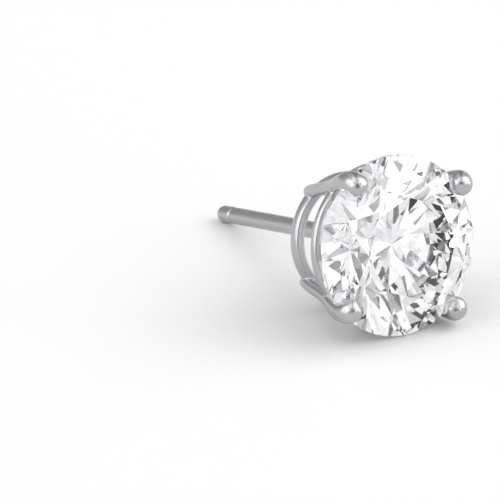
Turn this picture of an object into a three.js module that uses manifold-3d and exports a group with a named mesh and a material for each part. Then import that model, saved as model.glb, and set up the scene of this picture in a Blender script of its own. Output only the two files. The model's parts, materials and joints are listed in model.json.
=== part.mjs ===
// A stud earring: a round brilliant held by four prongs in a basket of two rails, on a friction post.
// The stud is modelled about its own axis, +Z out of the stone's face with z = 0 at the girdle's front
// edge. It is then pitched over to lie as it rests by itself, on the girdle and the tip of the post,
// with the face towards -Y and tilted up. Millimetres, +Z up, origin under the middle of the whole stud.

import * as THREE from 'three';
import { mergeVertices } from 'three/addons/utils/BufferGeometryUtils.js';
import Module from 'manifold-3d';

const wasm = await Module();
wasm.setup();

// Round brilliant: proportions of the girdle's diameter, angles in degrees
const stone = {
  radius: 4.05,
  tableShare: 0.57, // table across its corners
  crownAngle: 34.5,
  pavilionAngle: 40.8,
  girdle: 0.26, // band at its thickest, where the main facets meet it
  girdleSides: 64,
  starShare: 0.5, // star facets' share of the way from the table's edge to the girdle
  lowerHalfShare: 0.78, // lower halves' share of the way from the girdle to the culet
  turn: -3, // first main facet, from +X towards +Y
};
const seatGap = 0.04; // between the stone and the metal all round

// Basket rails: closed rings with a rounded section
const upperRail = { outer: 3.61, inner: 3.15, front: -1.12, back: -1.63, corner: 0.1 };
const backRail = { outer: 2.9, inner: 2.48, front: -3.73, back: -4.36, corner: 0.08 };
const railSides = 64;
const railCornerSteps = 2;

// Prong: stations along the wire, from the rounded end behind the back rail to the claw
const prongTurn = 32.6; // first prong, from +X towards +Y
const prongCount = 4;
const prongSides = 14;
const prongSteps = 22;
const prongDomeSteps = 3;
const prongStations = [
  // distance from the axis, height along the axis, radius of the wire
  { out: 2.87, along: -4.2, thick: 0.31 },
  { out: 3.15, along: -3.2, thick: 0.31 },
  { out: 3.32, along: -2.4, thick: 0.315 },
  { out: 3.54, along: -1.65, thick: 0.33 },
  { out: 3.83, along: -0.9, thick: 0.37 },
  { out: 4.05, along: -0.3, thick: 0.42 },
  { out: 4.13, along: 0.22, thick: 0.48 },
  { out: 4.05, along: 0.55, thick: 0.53 },
  { out: 3.9, along: 0.7, thick: 0.55 },
];

// Bridge across the back rail, and the post on it: sunk is how far the post goes into the bridge
const bridge = { width: 1.15, front: -3.87, overlap: 0.15 };
const post = { radius: 0.39, tip: -14.6, tipFlat: 0.14, sunk: 0.1, sides: 24, domeSteps: 5 };
const groove = { fromTip: 1.2, width: 0.32, depth: 0.06, steps: 6 };
// The fillet of solder round the post's foot: its collar's height, and the fillet's length below it
const solder = { radius: 0.62, collar: 0.07, raised: 0.05, length: 0.3, steps: 4 };

const metalLook = { color: 0xd9dadb, roughness: 0.16, metalness: 1 };
const stoneLook = { color: 0xf4f6f8, roughness: 0.02, metalness: 0 };

const radians = THREE.MathUtils.degToRad;
const faceWay = new THREE.Vector3(0, 0, 1);

// ---- Solids ----

// A closed mesh as a solid: only the position is kept, with shared vertices merged
function solidOf(geometry) {
  const bare = geometry.clone();
  bare.deleteAttribute('normal');
  bare.deleteAttribute('uv');
  const merged = mergeVertices(bare, 1e-5);
  return new wasm.Manifold(new wasm.Mesh({
    numProp: 3,
    vertProperties: new Float32Array(merged.attributes.position.array),
    triVerts: new Uint32Array(merged.index.array),
  }));
}

function meshOf(solid, name, look) {
  const made = solid.getMesh();
  const geometry = new THREE.BufferGeometry();
  geometry.setAttribute('position', new THREE.BufferAttribute(made.vertProperties, 3));
  geometry.setIndex(new THREE.BufferAttribute(made.triVerts, 1));
  const mesh = new THREE.Mesh(geometry, new THREE.MeshStandardMaterial(look));
  mesh.name = name;
  return mesh;
}

// A profile of (distance from the axis, height along the axis) points, turned about the Z axis
function turned(profile, sides, firstAngle = 0) {
  const points = profile.map(([out, along]) => new THREE.Vector2(out, along));
  return new THREE.LatheGeometry(points, sides, firstAngle).rotateX(Math.PI / 2);
}

// ---- Stone ----

// The planes of the facets: azimuth and tilt of each tier's first normal, and a point on that facet
function facetTiers(size) {
  const { radius, girdle } = size;
  const tableRadius = size.tableShare * radius;
  const halfMain = radians(22.5); // from a main facet's middle to the ridge between two
  const quarterMain = radians(11.25); // to the middle of a half facet
  const crown = Math.tan(radians(size.crownAngle));
  const pavilion = Math.tan(radians(size.pavilionAngle));

  const tableHeight = (radius - tableRadius) * crown;
  const tableEdge = tableRadius * Math.cos(halfMain);
  const starTip = tableEdge + size.starShare * (radius - tableEdge);
  const starTipHeight = (radius - starTip * Math.cos(halfMain)) * crown;
  const starTilt = Math.atan((tableHeight - starTipHeight) / (starTip - tableEdge));
  const upperRun = (radius - starTip) * Math.cos(quarterMain);
  const lowerTip = (1 - size.lowerHalfShare) * radius;
  const lowerTipDepth = (radius - lowerTip * Math.cos(halfMain)) * pavilion;
  const lowerRun = (radius - lowerTip) * Math.cos(quarterMain);

  const mainTilt = radians(size.crownAngle);
  const upperTilt = Math.atan(starTipHeight / upperRun);
  const pavilionTilt = Math.PI - radians(size.pavilionAngle);
  const lowerTilt = Math.PI - Math.atan(lowerTipDepth / lowerRun);
  const front = { out: radius, at: 0, along: 0 };
  const back = { out: radius, at: 0, along: -girdle };
  const tableSide = { out: tableEdge, at: halfMain, along: tableHeight };
  return [
    { count: 1, azimuth: 0, tilt: 0, out: 0, at: 0, along: tableHeight }, // table
    { count: 8, azimuth: 0, tilt: mainTilt, ...front }, // crown mains
    { count: 8, azimuth: halfMain, tilt: starTilt, ...tableSide }, // stars
    { count: 16, azimuth: quarterMain, tilt: upperTilt, ...front }, // upper halves
    { count: 8, azimuth: 0, tilt: pavilionTilt, ...back }, // pavilion mains
    { count: 16, azimuth: quarterMain, tilt: lowerTilt, ...back }, // lower halves
  ];
}

// The brilliant, every face moved outwards by grow: a girdle cylinder with one block cut off at each facet
function brilliant(size, grow) {
  const blockSide = size.radius * 4; // longer than the blank, so that each cut goes right across it
  const out = size.radius + grow;
  const back = -size.radius * 2;
  const front = size.radius;
  const flatDown = -Math.PI / 2 + Math.PI / size.girdleSides; // the middle of a flat is straight down
  const outline = [[0, back], [out, back], [out, front], [0, front]];
  let solid = solidOf(turned(outline, size.girdleSides, flatDown));
  for (const tier of facetTiers(size)) {
    for (let i = 0; i < tier.count; i++) {
      const step = (2 * Math.PI * i) / tier.count;
      const azimuth = radians(size.turn) + tier.azimuth + step;
      const at = radians(size.turn) + tier.at + step;
      const normal = new THREE.Vector3(Math.sin(tier.tilt), 0, Math.cos(tier.tilt));
      normal.applyAxisAngle(faceWay, azimuth);
      const onFacet = new THREE.Vector3(tier.out * Math.cos(at), tier.out * Math.sin(at), tier.along);
      const block = new THREE.BoxGeometry(blockSide, blockSide, blockSide);
      block.translate(0, 0, normal.dot(onFacet) + grow + blockSide / 2);
      block.applyQuaternion(new THREE.Quaternion().setFromUnitVectors(faceWay, normal));
      solid = solid.subtract(solidOf(block));
    }
  }
  return solid;
}

// ---- Setting ----

// A rail's ring: a rectangle with rounded corners, turned about the axis
function railRing({ outer, inner, front, back, corner }) {
  const corners = [
    [outer - corner, back + corner, -90],
    [outer - corner, front - corner, 0],
    [inner + corner, front - corner, 90],
    [inner + corner, back + corner, 180],
  ];
  const profile = [];
  for (const [out, along, from] of corners) {
    for (let i = 0; i <= railCornerSteps; i++) {
      const angle = radians(from + (90 * i) / railCornerSteps);
      profile.push([out + corner * Math.cos(angle), along + corner * Math.sin(angle)]);
    }
  }
  profile.push(profile[0]);
  return turned(profile, railSides);
}

// A round wire in the XZ plane through the stations, closed by a dome at each end
function prongWire() {
  const route = new THREE.CatmullRomCurve3(
    prongStations.map(({ out, along }) => new THREE.Vector3(out, 0, along)), false, 'centripetal');
  const thickAt = (t) => {
    const place = t * (prongStations.length - 1);
    const i = Math.min(Math.floor(place), prongStations.length - 2);
    return THREE.MathUtils.lerp(prongStations[i].thick, prongStations[i + 1].thick, place - i);
  };
  const rings = [];
  for (let i = -prongDomeSteps + 1; i < prongSteps + prongDomeSteps; i++) {
    const t = THREE.MathUtils.clamp(i / prongSteps, 0, 1);
    const beyond = i < 0 ? i : Math.max(0, i - prongSteps); // steps past either end, into its dome
    const dome = (beyond / prongDomeSteps) * (Math.PI / 2);
    const along = route.getTangent(t);
    const centre = route.getPoint(t).addScaledVector(along, thickAt(t) * Math.sin(dome));
    rings.push({ centre, along, thick: thickAt(t) * Math.cos(dome) });
  }

  const positions = [];
  const sideways = new THREE.Vector3(0, 1, 0);
  for (const { centre, along, thick } of rings) {
    const outwards = new THREE.Vector3().crossVectors(sideways, along);
    for (let k = 0; k < prongSides; k++) {
      const angle = (2 * Math.PI * k) / prongSides;
      const point = centre.clone().addScaledVector(sideways, thick * Math.sin(angle));
      positions.push(...point.addScaledVector(outwards, thick * Math.cos(angle)).toArray());
    }
  }
  const start = route.getPoint(0).addScaledVector(route.getTangent(0), -thickAt(0));
  const end = route.getPoint(1).addScaledVector(route.getTangent(1), thickAt(1));
  positions.push(...start.toArray(), ...end.toArray());

  const faces = [];
  const startPole = rings.length * prongSides;
  const lastRing = (rings.length - 1) * prongSides;
  for (let k = 0; k < prongSides; k++) {
    const next = (k + 1) % prongSides;
    for (let ring = 0; ring < lastRing; ring += prongSides) {
      faces.push(ring + k, ring + next, ring + prongSides + k);
      faces.push(ring + next, ring + prongSides + next, ring + prongSides + k);
    }
    faces.push(next, k, startPole);
    faces.push(lastRing + k, lastRing + next, startPole + 1);
  }
  const wire = new THREE.BufferGeometry();
  wire.setAttribute('position', new THREE.Float32BufferAttribute(positions, 3));
  wire.setIndex(faces);
  return wire;
}

// The post with its solder fillet, groove and nearly round tip
function postPin() {
  const { radius, tip, tipFlat } = post;
  const top = bridge.front - post.sunk;
  const collarTop = backRail.back + solder.raised;
  const collarEnd = collarTop - solder.collar;
  const profile = [[0, top], [radius, top], [radius, collarTop]];
  profile.push([solder.radius, collarTop], [solder.radius, collarEnd]);
  for (let i = 1; i <= solder.steps; i++) {
    const share = i / solder.steps;
    const out = radius + (solder.radius - radius) * (1 - share) ** 2;
    profile.push([out, collarEnd - solder.length * share]);
  }
  const grooveFront = tip + groove.fromTip + groove.width / 2;
  for (let i = 0; i <= groove.steps; i++) {
    const share = i / groove.steps;
    const dip = groove.depth * Math.sin(Math.PI * share) ** 2;
    profile.push([radius - dip, grooveFront - groove.width * share]);
  }
  const domeEnd = Math.acos(tipFlat / radius);
  const domeFront = tip + radius * Math.sin(domeEnd);
  for (let i = 0; i <= post.domeSteps; i++) {
    const angle = (domeEnd * i) / post.domeSteps;
    profile.push([radius * Math.cos(angle), domeFront - radius * Math.sin(angle)]);
  }
  profile.push([0, tip]);
  return turned(profile.reverse(), post.sides);
}

function setting() {
  const span = 2 * (backRail.inner + bridge.overlap);
  const depth = bridge.front - backRail.back;
  const bar = new THREE.BoxGeometry(span, bridge.width, depth);
  bar.translate(0, 0, backRail.back + depth / 2);
  bar.rotateZ(radians(prongTurn) + Math.PI / prongCount); // between the prongs

  let solid = solidOf(railRing(upperRail));
  solid = solid.add(solidOf(railRing(backRail)));
  solid = solid.add(solidOf(bar));
  solid = solid.add(solidOf(postPin()));
  for (let i = 0; i < prongCount; i++) {
    const wire = prongWire().rotateZ(radians(prongTurn) + (2 * Math.PI * i) / prongCount);
    solid = solid.add(solidOf(wire));
  }
  return solid.subtract(brilliant(stone, seatGap));
}

// ---- The stud as it rests ----

// The pitch at which the girdle's flat and the round tip of the post touch the same floor
function restPitch() {
  const girdleOut = stone.radius * Math.cos(Math.PI / stone.girdleSides);
  const reach = -post.tip - post.radius - stone.girdle;
  return Math.atan2(girdleOut, reach) - Math.asin(post.radius / Math.hypot(girdleOut, reach));
}

const stud = new THREE.Group();
stud.add(meshOf(setting(), 'setting', metalLook));
stud.add(meshOf(brilliant(stone, 0), 'stone', stoneLook));
stud.rotation.x = Math.PI / 2 - restPitch();

const box = new THREE.Box3().setFromObject(stud, true);
const middle = box.getCenter(new THREE.Vector3());
stud.position.set(-middle.x, -middle.y, -box.min.z);

const model = new THREE.Group();
model.add(stud);

export default model;
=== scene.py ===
import json
import math
import bpy
from mathutils import Matrix, Vector


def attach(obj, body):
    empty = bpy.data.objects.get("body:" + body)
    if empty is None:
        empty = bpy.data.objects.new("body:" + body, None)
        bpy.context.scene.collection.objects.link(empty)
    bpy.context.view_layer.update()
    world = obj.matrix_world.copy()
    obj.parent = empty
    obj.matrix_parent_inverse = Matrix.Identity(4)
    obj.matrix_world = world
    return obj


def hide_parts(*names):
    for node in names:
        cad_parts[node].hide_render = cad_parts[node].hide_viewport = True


# A stud earring lying as it rests by itself: a round brilliant in a basket of two rails and four
# prongs, on a friction post. Both pieces are modelled in millimetres about the stud's own axis, with
# +Z out of the stone's face and z = 0 at the girdle's front edge, and then placed in metres.

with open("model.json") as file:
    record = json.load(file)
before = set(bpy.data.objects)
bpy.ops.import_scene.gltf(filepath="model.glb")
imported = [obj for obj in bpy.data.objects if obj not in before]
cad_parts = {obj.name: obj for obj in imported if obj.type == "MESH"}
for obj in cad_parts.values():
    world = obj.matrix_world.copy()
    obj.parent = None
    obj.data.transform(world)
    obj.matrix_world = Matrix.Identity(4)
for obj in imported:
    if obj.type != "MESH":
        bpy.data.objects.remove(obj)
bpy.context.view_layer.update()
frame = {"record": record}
print("frame loaded")

closeness = {
    "merged": 0.0005,  # points nearer than this become one
    "onCut": 0.00001,  # a point nearer to a cutting plane than this is on it
    "picked": 0.01,  # a point nearer to a named place than this is selected with it
}


def clearSelection():
    if bpy.context.mode != "OBJECT":
        bpy.ops.object.mode_set(mode="OBJECT")
    bpy.ops.object.select_all(action="DESELECT")


def startEditing(piece):
    clearSelection()
    bpy.context.view_layer.objects.active = piece
    piece.select_set(True)
    bpy.ops.object.transform_apply(location=True, rotation=True, scale=True)
    bpy.ops.object.mode_set(mode="EDIT")
    bpy.ops.mesh.select_mode(type="VERT")
    bpy.ops.mesh.select_all(action="SELECT")


def selectWhere(test):
    bpy.ops.mesh.select_all(action="DESELECT")
    bpy.ops.object.mode_set(mode="OBJECT")
    for vertex in bpy.context.object.data.vertices:
        vertex.select = test(vertex.co)
    bpy.ops.object.mode_set(mode="EDIT")


def closeMesh():
    # doubles merged first, so that the normals are worked out on one closed skin
    bpy.ops.mesh.select_all(action="SELECT")
    bpy.ops.mesh.remove_doubles(threshold=closeness["merged"])
    bpy.ops.mesh.normals_make_consistent(inside=False)
    bpy.ops.object.mode_set(mode="OBJECT")


def applyModifier(piece, kind, **settings):
    bpy.context.view_layer.objects.active = piece
    modifier = piece.modifiers.new(kind.lower(), kind)
    for name, value in settings.items():
        setattr(modifier, name, value)
    bpy.ops.object.modifier_apply(modifier=modifier.name)


def linearColour(hexColour):
    channels = [int(hexColour[i:i + 2], 16) / 255 for i in (0, 2, 4)]
    return [c / 12.92 if c <= 0.04045 else ((c + 0.055) / 1.055) ** 2.4 for c in channels] + [1.0]


def addNode(tree, kind, settings=None, links=None):
    node = tree.nodes.new(kind)
    for name, value in (settings or {}).items():
        if isinstance(name, int) or name in node.inputs:
            node.inputs[name].default_value = value
        else:
            setattr(node, name, value)
    for name, source in (links or {}).items():
        tree.links.new(source, node.inputs[name])
    return node


def startMaterial(name):
    material = bpy.data.materials.new(name)
    material.use_nodes = True
    tree = material.node_tree
    tree.nodes.clear()
    surface = addNode(tree, "ShaderNodeBsdfPrincipled")
    addNode(tree, "ShaderNodeOutputMaterial", {}, {"Surface": surface.outputs["BSDF"]})
    return material, tree, surface


studPlace = {
    "postLength": 14.6,  # from the girdle's front edge to the flat on the post's tip
    "millimetre": 0.001,
}

# the post's end in the frame gives the axis and the point that everything is measured from
postEnd = next(m for m in frame["record"]["mounts"] if m["name"] == "post_end")
faceWay = -Vector(postEnd["axis"]).normalized()
girdleFront = Vector(postEnd["pos_m"]) + faceWay * studPlace["postLength"] * studPlace["millimetre"]
sideWay = Vector((1, 0, 0))
upWay = faceWay.cross(sideWay)
turning = Matrix((sideWay, upWay, faceWay)).transposed().to_4x4()
toFrame = Matrix.Translation(girdleFront) @ turning @ Matrix.Scale(studPlace["millimetre"], 4)


def placePiece(piece, node, material):
    piece.data.transform(toFrame)
    piece.data.update()
    piece.data.materials.clear()
    piece.data.materials.append(material)
    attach(piece, "root")
    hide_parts(node)


# the stone is cut from a cylinder, one flat facet after another
stoneCut = {
    "radius": 4.05,
    "tableShare": 0.57,  # table across its corners
    "crownAngle": 34.5,
    "pavilionAngle": 40.8,
    "girdle": 0.26,  # band at its thickest
    "girdleSides": 64,
    "starShare": 0.5,
    "lowerHalfShare": 0.78,
    "turn": -3,  # first main facet, in degrees from +X towards +Y
}


def facetTiers():
    # each tier: how many, the normal's first azimuth and tilt, then a point on the first facet, as its
    # distance from the axis, its azimuth and its height
    radius, girdle = stoneCut["radius"], stoneCut["girdle"]
    eighth, sixteenth = math.radians(22.5), math.radians(11.25)
    crown = math.radians(stoneCut["crownAngle"])
    pavilion = math.radians(stoneCut["pavilionAngle"])
    tableCorner = radius * stoneCut["tableShare"]
    tableHeight = (radius - tableCorner) * math.tan(crown)
    tableEdge = tableCorner * math.cos(eighth)
    starTip = tableEdge + stoneCut["starShare"] * (radius - tableEdge)
    starHeight = (radius - starTip * math.cos(eighth)) * math.tan(crown)
    starTilt = math.atan((tableHeight - starHeight) / (starTip - tableEdge))
    upperTilt = math.atan(starHeight / ((radius - starTip) * math.cos(sixteenth)))
    lowerTip = (1 - stoneCut["lowerHalfShare"]) * radius
    lowerDepth = (radius - lowerTip * math.cos(eighth)) * math.tan(pavilion)
    lowerTilt = math.atan(lowerDepth / ((radius - lowerTip) * math.cos(sixteenth)))
    return [
        (1, 0, 0, 0, 0, tableHeight),  # table
        (8, 0, crown, radius, 0, 0),  # crown mains
        (8, eighth, starTilt, tableEdge, eighth, tableHeight),  # stars
        (16, sixteenth, upperTilt, radius, 0, 0),  # upper halves
        (8, 0, math.pi - pavilion, radius, 0, -girdle),  # pavilion mains
        (16, sixteenth, math.pi - lowerTilt, radius, 0, -girdle),  # lower halves
    ]


def cutBrilliant(name, grow):
    radius = stoneCut["radius"]
    clearSelection()
    # half a flat's turn puts the middle of a girdle flat at the very bottom
    bpy.ops.mesh.primitive_cylinder_add(vertices=stoneCut["girdleSides"], radius=radius + grow,
                                        depth=3 * radius, location=(0, 0, -radius / 2),
                                        rotation=(0, 0, math.pi / stoneCut["girdleSides"]))
    stone = bpy.context.object
    stone.name = name
    startEditing(stone)
    for count, azimuth, tilt, out, at, along in facetTiers():
        for i in range(count):
            step = 2 * math.pi * i / count + math.radians(stoneCut["turn"])
            normal = Vector((math.sin(tilt) * math.cos(azimuth + step),
                             math.sin(tilt) * math.sin(azimuth + step), math.cos(tilt)))
            point = Vector((out * math.cos(at + step), out * math.sin(at + step), along))
            bpy.ops.mesh.select_all(action="SELECT")
            bpy.ops.mesh.bisect(plane_co=point + normal * grow, plane_no=normal, use_fill=True,
                                clear_outer=True, threshold=closeness["onCut"])
    closeMesh()
    return stone


# Diamond, cut and polished on a lap: optically flat facets with hard edges, and a girdle left with
# the fine frost of bruting, which reads as a light grey line round the stone.
diamondFinish = {
    "tint": "fcfdff",
    "girdleFrost": 0.1,
    "facetGloss": 0.0,
    "frostStarts": 0.03,  # millimetres in from the girdle
    "frostFull": 0.01,
    "refraction": 2.417,
}


def polishedDiamond():
    material, tree, surface = startMaterial("lapPolishedDiamond")
    place = addNode(tree, "ShaderNodeTexCoord")
    # from the girdle's front edge, along the stud's axis: turned upright and counted in millimetres
    pitch = math.acos(faceWay.z)
    upright = addNode(tree, "ShaderNodeMapping", {"vector_type": "TEXTURE", "Location": girdleFront,
                      "Rotation": (pitch, 0, 0), "Scale": [studPlace["millimetre"]] * 3},
                      {"Vector": place.outputs["Object"]})
    parts = addNode(tree, "ShaderNodeSeparateXYZ", {}, {0: upright.outputs[0]})
    flat = addNode(tree, "ShaderNodeCombineXYZ", {}, {"X": parts.outputs["X"], "Y": parts.outputs["Y"]})
    across = addNode(tree, "ShaderNodeVectorMath", {"operation": "LENGTH"}, {0: flat.outputs[0]})
    edge = addNode(tree, "ShaderNodeMapRange",
                   {"From Min": stoneCut["radius"] - diamondFinish["frostStarts"],
                    "From Max": stoneCut["radius"] - diamondFinish["frostFull"],
                    "To Min": diamondFinish["facetGloss"], "To Max": diamondFinish["girdleFrost"]},
                   {"Value": across.outputs["Value"]})
    tree.links.new(edge.outputs[0], surface.inputs["Roughness"])
    surface.inputs["Base Color"].default_value = linearColour(diamondFinish["tint"])
    surface.inputs["IOR"].default_value = diamondFinish["refraction"]
    surface.inputs["Transmission Weight"].default_value = 1.0
    return material


stone = cutBrilliant("roundBrilliant", 0)
placePiece(stone, "stone", polishedDiamond())
print("stone cut")


# the setting's rails, prongs, bridge and post are made one by one and then soldered into one
upperRail = {"outer": 3.58, "inner": 3.15, "front": -1.12, "back": -1.63, "corner": 0.09, "dome": 0.09}
backRail = {"outer": 2.87, "inner": 2.48, "front": -3.73, "back": -4.36, "corner": 0.07, "dome": 0.08}
railShape = {"steps": 120, "domeCuts": 3, "cornerSteps": 4}


def makeRail(name, rail):
    width, depth = rail["outer"] - rail["inner"], rail["front"] - rail["back"]
    clearSelection()
    bpy.ops.mesh.primitive_plane_add(size=1, rotation=(math.pi / 2, 0, 0),
                                     location=(rail["inner"] + width / 2, 0, rail["back"] + depth / 2))
    piece = bpy.context.object
    piece.name = name
    piece.scale = (width, depth, 1)
    startEditing(piece)

    # the outer wall is slightly domed, as drawn wire is
    picked = closeness["picked"]
    selectWhere(lambda place: place.x > rail["outer"] - picked)
    bpy.ops.mesh.subdivide(number_cuts=railShape["domeCuts"])
    for cut in range(1, railShape["domeCuts"] + 1):
        share = cut / (railShape["domeCuts"] + 1)
        height = rail["back"] + depth * share
        selectWhere(lambda place: place.x > rail["outer"] - picked and abs(place.z - height) < picked)
        bpy.ops.transform.translate(value=(rail["dome"] * 4 * share * (1 - share), 0, 0))

    selectWhere(lambda place: min(abs(place.z - rail["back"]), abs(place.z - rail["front"])) < picked)
    bpy.ops.mesh.bevel(offset=rail["corner"], segments=railShape["cornerSteps"], affect="VERTICES")
    bpy.ops.mesh.select_all(action="SELECT")
    bpy.ops.mesh.delete(type="ONLY_FACE")  # the section's outline alone is spun
    bpy.ops.mesh.select_all(action="SELECT")
    bpy.ops.mesh.spin(steps=railShape["steps"], angle=2 * math.pi, center=(0, 0, 0), axis=(0, 0, 1))
    closeMesh()
    return piece


prong = {
    "turn": 32.6,  # first prong, in degrees from +X towards +Y
    "count": 4,
    "sides": 16,
    "subdivisions": 2,
    # from the rounded end behind the back rail to the claw: distance from the axis, height along it,
    # and the wire's radius
    "stations": [
        (2.87, -4.2, 0.31),
        (3.15, -3.2, 0.31),
        (3.32, -2.4, 0.315),
        (3.54, -1.65, 0.33),
        (3.83, -0.9, 0.37),
        (4.05, -0.3, 0.42),
        (4.13, 0.22, 0.48),
        (4.05, 0.55, 0.53),
        (3.9, 0.7, 0.55),
    ],
    "domeRings": [(0.5, 0.87), (0.85, 0.53)],  # out along the wire and size, as shares of its radius
}


def makeProng():
    stations = [(Vector((out, 0, along)), thick) for out, along, thick in prong["stations"]]
    start, thick = stations[0]
    firstWay = (stations[1][0] - start).normalized()
    # the rear dome comes first, then the stations, then the claw's dome
    rings = []
    for beyond, size in reversed(prong["domeRings"]):
        rings.append((start - firstWay * beyond * thick, thick * size, firstWay))
    for i, (point, radius) in enumerate(stations):
        before = stations[max(i - 1, 0)][0]
        after = stations[min(i + 1, len(stations) - 1)][0]
        rings.append((point, radius, (after - before).normalized()))
    end, thick = stations[-1]
    lastWay = rings[-1][2]
    for beyond, size in prong["domeRings"]:
        rings.append((end + lastWay * beyond * thick, thick * size, lastWay))

    clearSelection()
    point, radius, way = rings[0]
    lean = math.atan2(way.x, way.z)
    bpy.ops.mesh.primitive_circle_add(vertices=prong["sides"], radius=radius, fill_type="NGON",
                                      location=point, rotation=(0, lean, 0))
    piece = bpy.context.object
    piece.name = "prong"
    startEditing(piece)
    for nextPoint, nextRadius, nextWay in rings[1:]:
        nextLean = math.atan2(nextWay.x, nextWay.z)
        bpy.ops.mesh.extrude_region_move(TRANSFORM_OT_translate={"value": nextPoint - point})
        bpy.ops.transform.rotate(value=-(nextLean - lean), orient_axis="Y",
                                 center_override=nextPoint)
        bpy.ops.transform.resize(value=[nextRadius / radius] * 3, center_override=nextPoint)
        point, radius, lean = nextPoint, nextRadius, nextLean
    closeMesh()
    applyModifier(piece, "SUBSURF", levels=prong["subdivisions"], render_levels=prong["subdivisions"])
    return piece


bridge = {
    "width": 1.15,
    "front": -3.87,
    "overlap": 0.15,  # how far each end runs into the back rail
    "edge": 0.12,
    "edgeSteps": 3,
}


def makeBridge():
    depth = bridge["front"] - backRail["back"]
    turn = prong["turn"] + 180 / prong["count"]  # half-way between two prongs
    clearSelection()
    bpy.ops.mesh.primitive_cube_add(size=1, location=(0, 0, backRail["back"] + depth / 2),
                                    rotation=(0, 0, math.radians(turn)))
    piece = bpy.context.object
    piece.name = "bridge"
    piece.scale = (2 * (backRail["inner"] + bridge["overlap"]), bridge["width"], depth)
    startEditing(piece)
    bpy.ops.mesh.bevel(offset=bridge["edge"], segments=bridge["edgeSteps"], affect="EDGES")
    closeMesh()
    return piece


post = {
    "radius": 0.39,
    "sides": 48,
    "sunk": 0.1,  # how far behind the bridge's front the post begins
    "tipFlat": 0.14,
    "domeSteps": 8,
    "grooveFromTip": 1.2,
    "grooveWidth": 0.32,
    "grooveDepth": 0.06,
    "grooveSteps": 8,
    "solderRadius": 0.62,
    "solderInside": 0.05,  # the collar's straight part, inside the bridge and standing out of it
    "solderOutside": 0.02,
    "solderLength": 0.3,
    "solderSteps": 5,
}


def makePost():
    radius, tip = post["radius"], -studPlace["postLength"]
    top = bridge["front"] - post["sunk"]
    clearSelection()
    bpy.ops.mesh.primitive_cylinder_add(vertices=post["sides"], radius=radius, depth=top - tip,
                                        location=(0, 0, (top + tip) / 2))
    piece = bpy.context.object
    piece.name = "post"
    startEditing(piece)

    # rings to shape: height along the post, and radius
    foot = backRail["back"] - post["solderOutside"]
    rings = [(backRail["back"] + post["solderInside"], post["solderRadius"]), (foot, post["solderRadius"])]
    for i in range(1, post["solderSteps"] + 1):
        share = i / post["solderSteps"]
        rings.append((foot - post["solderLength"] * share,
                      radius + (post["solderRadius"] - radius) * (1 - share) ** 2))
    for i in range(post["grooveSteps"] + 1):
        share = i / post["grooveSteps"]
        dip = post["grooveDepth"] * (1 - math.cos(2 * math.pi * share)) / 2
        rings.append((tip + post["grooveFromTip"] + post["grooveWidth"] * (0.5 - share), radius - dip))
    domeEnd = math.acos(post["tipFlat"] / radius)
    for i in range(post["domeSteps"]):
        angle = domeEnd * i / post["domeSteps"]
        rings.append((tip + radius * (math.sin(domeEnd) - math.sin(angle)), radius * math.cos(angle)))

    for height, size in rings:
        bpy.ops.mesh.select_all(action="SELECT")
        bpy.ops.mesh.bisect(plane_co=(0, 0, height), plane_no=(0, 0, 1), threshold=closeness["onCut"])
    for height, size in rings + [(tip, post["tipFlat"])]:
        selectWhere(lambda place: abs(place.z - height) < closeness["merged"])
        bpy.ops.transform.resize(value=(size / radius, size / radius, 1), center_override=(0, 0, height))
    closeMesh()
    return piece


solderedMetal = {
    "grain": 0.047,  # size of the cells that the parts are fused in
    "polishing": 7,  # rounds of smoothing, which leave the fillets
    "seatGap": 0.015,
    "creaseAngle": 38,
}


def makeSetting():
    parts = [makeRail("upperRail", upperRail), makeRail("backRail", backRail), makeBridge(), makePost()]
    firstProng = makeProng()
    for i in range(prong["count"]):
        wire = firstProng.copy()
        wire.data = firstProng.data.copy()
        bpy.context.collection.objects.link(wire)
        wire.data.transform(Matrix.Rotation(math.radians(prong["turn"] + 360 * i / prong["count"]), 4, "Z"))
        parts.append(wire)
    bpy.data.objects.remove(firstProng)

    clearSelection()
    for part in parts:
        part.select_set(True)
    setting = parts[0]
    bpy.context.view_layer.objects.active = setting
    bpy.ops.object.join()
    setting.name = "prongBasketAndPost"
    applyModifier(setting, "REMESH", mode="VOXEL", voxel_size=solderedMetal["grain"])
    applyModifier(setting, "SMOOTH", factor=0.5, iterations=solderedMetal["polishing"])

    # the seat under the claws is cut to the stone
    cutter = cutBrilliant("seatCutter", solderedMetal["seatGap"])
    clearSelection()
    applyModifier(setting, "BOOLEAN", operation="DIFFERENCE", solver="EXACT", object=cutter)
    bpy.data.objects.remove(cutter)
    clearSelection()
    setting.select_set(True)
    bpy.context.view_layer.objects.active = setting
    bpy.ops.object.shade_smooth_by_angle(angle=math.radians(solderedMetal["creaseAngle"]))
    return setting


# White gold, cast and soldered, hand-polished and rhodium plated: a bright neutral mirror, softened
# by very shallow waves from the wheel and by hairline marks of the buff.
goldFinish = {
    "colour": "d1d1d3",
    "roughness": (0.2, 0.27),
    "waveLength": 0.9,  # millimetres between the wheel's waves
    "waveHeight": 0.0000015,
    "waveSpread": (0.35, 0.65),  # the noise's lowest and highest usual values
    "hairSpacing": 0.06,  # coarser than real buffing marks, so that they show at all
    "hairHeight": 0.0000001,
}


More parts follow.
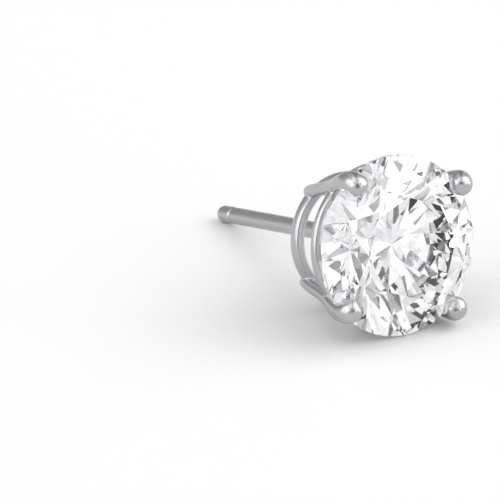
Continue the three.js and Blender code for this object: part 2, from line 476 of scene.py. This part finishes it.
def rhodiumPlatedGold():
    material, tree, surface = startMaterial("polishedRhodiumPlatedWhiteGold")
    place = addNode(tree, "ShaderNodeTexCoord")
    inMillimetres = addNode(tree, "ShaderNodeMapping", {"Scale": [1 / studPlace["millimetre"]] * 3},
                            {"Vector": place.outputs["Object"]})
    waves = addNode(tree, "ShaderNodeTexNoise", {"Scale": 1 / goldFinish["waveLength"], "Detail": 1.0},
                    {"Vector": inMillimetres.outputs[0]})
    hairs = addNode(tree, "ShaderNodeTexNoise", {"Scale": 1 / goldFinish["hairSpacing"], "Detail": 2.0},
                    {"Vector": inMillimetres.outputs[0]})
    waved = addNode(tree, "ShaderNodeBump", {"Strength": 1.0, "Distance": goldFinish["waveHeight"]},
                    {"Height": waves.outputs[0]})
    haired = addNode(tree, "ShaderNodeBump", {"Strength": 1.0, "Distance": goldFinish["hairHeight"]},
                     {"Height": hairs.outputs[0], "Normal": waved.outputs[0]})
    lowest, highest = goldFinish["waveSpread"]
    smoothest, roughest = goldFinish["roughness"]
    buffed = addNode(tree, "ShaderNodeMapRange", {"From Min": lowest, "From Max": highest,
                     "To Min": smoothest, "To Max": roughest}, {"Value": waves.outputs[0]})
    tree.links.new(buffed.outputs[0], surface.inputs["Roughness"])
    tree.links.new(haired.outputs[0], surface.inputs["Normal"])
    surface.inputs["Base Color"].default_value = linearColour(goldFinish["colour"])
    surface.inputs["Metallic"].default_value = 1.0
    return material


setting = makeSetting()
placePiece(setting, "setting", rhodiumPlatedGold())
print("setting soldered:", len(setting.data.polygons), "faces")


# Acrylic sheet, cast and sanded matt: a pale, even floor with no gloss.
floorSheet = {
    "size": 6.0,
    "colour": "fafafa",
    # painted shade: the floor's colour for reflected and bounced rays, darker than the floor the viewer
    # sees
    "colourWithPaintedShadeSeenByMetal": "dadada",
    "roughness": 0.6,
    "gloss": 0.0,
}


def paleFloor():
    clearSelection()
    bpy.ops.mesh.primitive_plane_add(size=floorSheet["size"])
    floor = bpy.context.object
    floor.name = "floor"
    material, tree, surface = startMaterial("mattWhiteAcrylic")
    # the metal sees a dimmer floor than the viewer does: painted shade in the floor's colour for reflected
    # and bounced rays, so that the metal's undersides and lower edges look darker
    rays = addNode(tree, "ShaderNodeLightPath")
    direct = addNode(tree, "ShaderNodeMath", {"operation": "MAXIMUM"},
                     {0: rays.outputs["Is Camera Ray"], 1: rays.outputs["Is Transmission Ray"]})
    shade = addNode(tree, "ShaderNodeMix", {"data_type": "RGBA",
                    6: linearColour(floorSheet["colourWithPaintedShadeSeenByMetal"]),
                    7: linearColour(floorSheet["colour"])}, {0: direct.outputs[0]})
    tree.links.new(shade.outputs[2], surface.inputs["Base Color"])
    surface.inputs["Roughness"].default_value = floorSheet["roughness"]
    surface.inputs["Specular IOR Level"].default_value = floorSheet["gloss"]
    floor.data.materials.append(material)


def wayFrom(azimuth, elevation):
    # azimuth 0 is in front of the stone's face, and 90 is to the right of someone who looks at it
    a, e = math.radians(azimuth), math.radians(elevation)
    return Vector((math.sin(a) * math.cos(e), -math.cos(a) * math.cos(e), math.sin(e)))


keySoftbox = {"azimuth": 60, "elevation": 48, "distance": 0.5, "side": 0.3, "brightness": 1.4}


def makeSoftbox():
    away = wayFrom(keySoftbox["azimuth"], keySoftbox["elevation"])
    light = bpy.data.lights.new("keySoftbox", "AREA")
    light.shape = "SQUARE"
    light.size = keySoftbox["side"]
    light.energy = keySoftbox["brightness"] * math.pi * keySoftbox["side"] ** 2
    lamp = bpy.data.objects.new("keySoftbox", light)
    bpy.context.collection.objects.link(lamp)
    lamp.location = girdleFront + away * keySoftbox["distance"]
    lamp.rotation_mode = "QUATERNION"
    lamp.rotation_quaternion = away.to_track_quat("Z", "Y")


# the room round the stud: its walls are lit for the stone, and the metal sees them dimmer
room = {
    "seenByViewer": 0.95,
    "walls": 0.6,
    "wallsThroughStone": 1.22,
    "glowLimit": 2.0,
    "glowLimitThroughStone": 1.4,
    "patchFineness": 6.0,  # the walls are unevenly lit
    "patchRange": (0.84, 1.14),
    "patchSpread": (0.38, 0.62),  # the noise's lowest and highest usual values
    # large soft lights as glows on the walls: azimuth, elevation, the angles where each is full and
    # where it ends, and its brightness
    "glows": [
        (48, 26, 18, 68, 1.68),
        (-30, 78, 10, 50, 1.5),
        (-96, 26, 14, 48, 1.7),
    ],
    # darker places, with how much of the light is left there: first the viewer's own side, then
    # behind, then low on the right, which keeps glare off the stone's table
    "shades": [
        (-34, 24, 4, 15, 0.15),
        (180, 16, 10, 36, 0.6),
        (30, 1, 5, 20, 0.25),
        (8, 42, 2, 9, 0.2),
        (24, 12, 2, 8, 0.3),
        (66, 22, 2, 7, 0.2),
        (50, 58, 2, 8, 0.3),
        (-4, 74, 2, 8, 0.3),
        (-72, 44, 2, 8, 0.25),
        (-98, 16, 2, 8, 0.25),
        (-60, 8, 2, 8, 0.3),
        (110, 30, 2, 9, 0.3),
    ],
    # the upright gap between the lights, where the viewer stands
    "gap": {"azimuth": -36, "fullAngle": 3, "endAngle": 12, "left": 0.4},
}


def joinedBy(tree, operation, first, second):
    return addNode(tree, "ShaderNodeMath", {"operation": operation}, {0: first, 1: second}).outputs[0]


def alongWay(tree, direction, way):
    return addNode(tree, "ShaderNodeVectorMath", {"operation": "DOT_PRODUCT", 1: way},
                   {0: direction}).outputs["Value"]


def nearPlace(tree, direction, place, outside):
    # the place's own value near its middle, and the value outside further off
    azimuth, elevation, fullAngle, endAngle, inside = place
    return addNode(tree, "ShaderNodeMapRange", {"interpolation_type": "SMOOTHSTEP",
                   "From Min": math.cos(math.radians(endAngle)),
                   "From Max": math.cos(math.radians(fullAngle)), "To Min": outside, "To Max": inside},
                   {"Value": alongWay(tree, direction, wayFrom(azimuth, elevation))}).outputs[0]


def lightRoom():
    world = bpy.data.worlds.new("studio")
    bpy.context.scene.world = world
    world.use_nodes = True
    tree = world.node_tree
    tree.nodes.clear()
    direction = addNode(tree, "ShaderNodeTexCoord").outputs["Generated"]
    rays = addNode(tree, "ShaderNodeLightPath")
    throughStone = {"Value": rays.outputs["Is Transmission Ray"]}

    strength = addNode(tree, "ShaderNodeMapRange", {"To Min": room["walls"],
                       "To Max": room["wallsThroughStone"]}, throughStone).outputs[0]
    for glow in room["glows"]:
        strength = joinedBy(tree, "MAXIMUM", strength, nearPlace(tree, direction, glow, 0.0))
    limit = addNode(tree, "ShaderNodeMapRange", {"To Min": room["glowLimit"],
                    "To Max": room["glowLimitThroughStone"]}, throughStone)
    strength = joinedBy(tree, "MINIMUM", strength, limit.outputs[0])
    for shade in room["shades"]:
        strength = joinedBy(tree, "MULTIPLY", strength, nearPlace(tree, direction, shade, 1.0))

    gap = room["gap"]
    sideways = alongWay(tree, direction, wayFrom(gap["azimuth"] + 90, 0))
    apart = addNode(tree, "ShaderNodeMath", {"operation": "ABSOLUTE"}, {0: sideways})
    gapShade = addNode(tree, "ShaderNodeMapRange", {"interpolation_type": "SMOOTHSTEP",
                       "From Min": math.sin(math.radians(gap["fullAngle"])),
                       "From Max": math.sin(math.radians(gap["endAngle"])), "To Min": gap["left"],
                       "To Max": 1.0}, {"Value": apart.outputs[0]})
    strength = joinedBy(tree, "MULTIPLY", strength, gapShade.outputs[0])

    lowest, highest = room["patchSpread"]
    dimmest, brightest = room["patchRange"]
    patches = addNode(tree, "ShaderNodeTexNoise", {"Scale": room["patchFineness"], "Detail": 2.0},
                      {"Vector": direction})
    patched = addNode(tree, "ShaderNodeMapRange", {"From Min": lowest, "From Max": highest,
                      "To Min": dimmest, "To Max": brightest}, {"Value": patches.outputs[0]})
    strength = joinedBy(tree, "MULTIPLY", strength, patched.outputs[0])

    white = (1, 1, 1, 1)
    walls = addNode(tree, "ShaderNodeBackground", {"Color": white}, {"Strength": strength})
    backdrop = addNode(tree, "ShaderNodeBackground", {"Color": white, "Strength": room["seenByViewer"]})
    seen = addNode(tree, "ShaderNodeMixShader", {}, {0: rays.outputs["Is Camera Ray"],
                   1: walls.outputs[0], 2: backdrop.outputs[0]})
    addNode(tree, "ShaderNodeOutputWorld", {}, {"Surface": seen.outputs[0]})


# the camera's angles, and how far the girdle's middle is from the middle of the view, in millimetres
cameraSetup = {
    "azimuth": -33.87,
    "elevation": 24.48,
    "distance": 300,
    "right": 6.555,
    "up": 0.194,
    "lens": 487.9,
    "sensor": 36,
    "nearest": 0.01,  # metres
}


def makeCamera():
    back = wayFrom(cameraSetup["azimuth"], cameraSetup["elevation"])
    right = wayFrom(cameraSetup["azimuth"] + 90, 0)
    up = back.cross(right)
    cameraData = bpy.data.cameras.new("camera")
    cameraData.lens = cameraSetup["lens"]
    cameraData.sensor_width = cameraSetup["sensor"]
    cameraData.clip_start = cameraSetup["nearest"]
    camera = bpy.data.objects.new("camera", cameraData)
    bpy.context.collection.objects.link(camera)
    offset = back * cameraSetup["distance"] - right * cameraSetup["right"] - up * cameraSetup["up"]
    camera.location = girdleFront + offset * studPlace["millimetre"]
    camera.rotation_mode = "QUATERNION"
    camera.rotation_quaternion = back.to_track_quat("Z", "Y")
    return camera


paleFloor()
makeSoftbox()
lightRoom()

# light crosses many facets before it leaves the stone
bounces = {"all": 24, "transmission": 24, "glossy": 8}
scene = bpy.context.scene
scene.camera = makeCamera()
scene.view_settings.view_transform = "Standard"
scene.cycles.max_bounces = bounces["all"]
scene.cycles.transmission_bounces = bounces["transmission"]
scene.cycles.glossy_bounces = bounces["glossy"]
print("studio ready")
